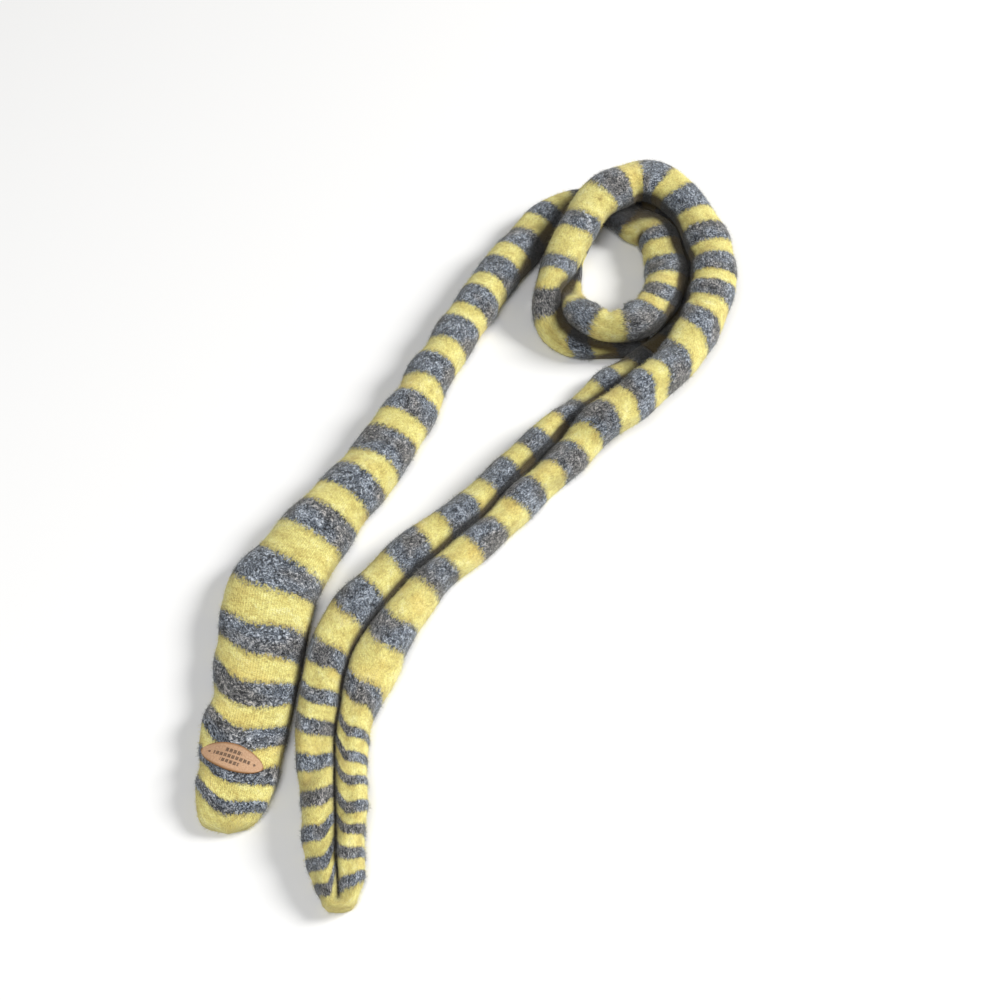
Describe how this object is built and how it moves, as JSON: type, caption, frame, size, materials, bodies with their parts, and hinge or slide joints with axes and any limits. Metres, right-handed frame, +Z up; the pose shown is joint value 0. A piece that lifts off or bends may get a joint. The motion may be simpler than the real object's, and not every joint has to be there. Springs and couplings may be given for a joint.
{
  "type": "knit scarf",
  "caption": "Long tubular knit scarf with broad stripes, laid flat: wide closed end with a small label, a two-turn coil and a doubled tail.",
  "frame": {"origin": "centre of the bounding box in plan, on the surface the scarf lies on", "axes": "+Z up from the surface, +Y from the free ends of the tails toward the coil, +X toward the side of the doubled tail and the coil"},
  "size_m": [0.3948, 0.6389, 0.0456],
  "materials": {
    "striped_knit": "brushed wool-blend knit, pale yellow with grey melange stripes",
    "label": "matt pale tan"
  },
  "bodies": {
    "root": {"left_run": "striped_knit", "inner_turn": "striped_knit", "under_turn": "striped_knit", "middle_run": "striped_knit", "tip_fold": "striped_knit", "right_run": "striped_knit", "outer_turn": "striped_knit", "label": "label"}
  },
  "joints": []
}
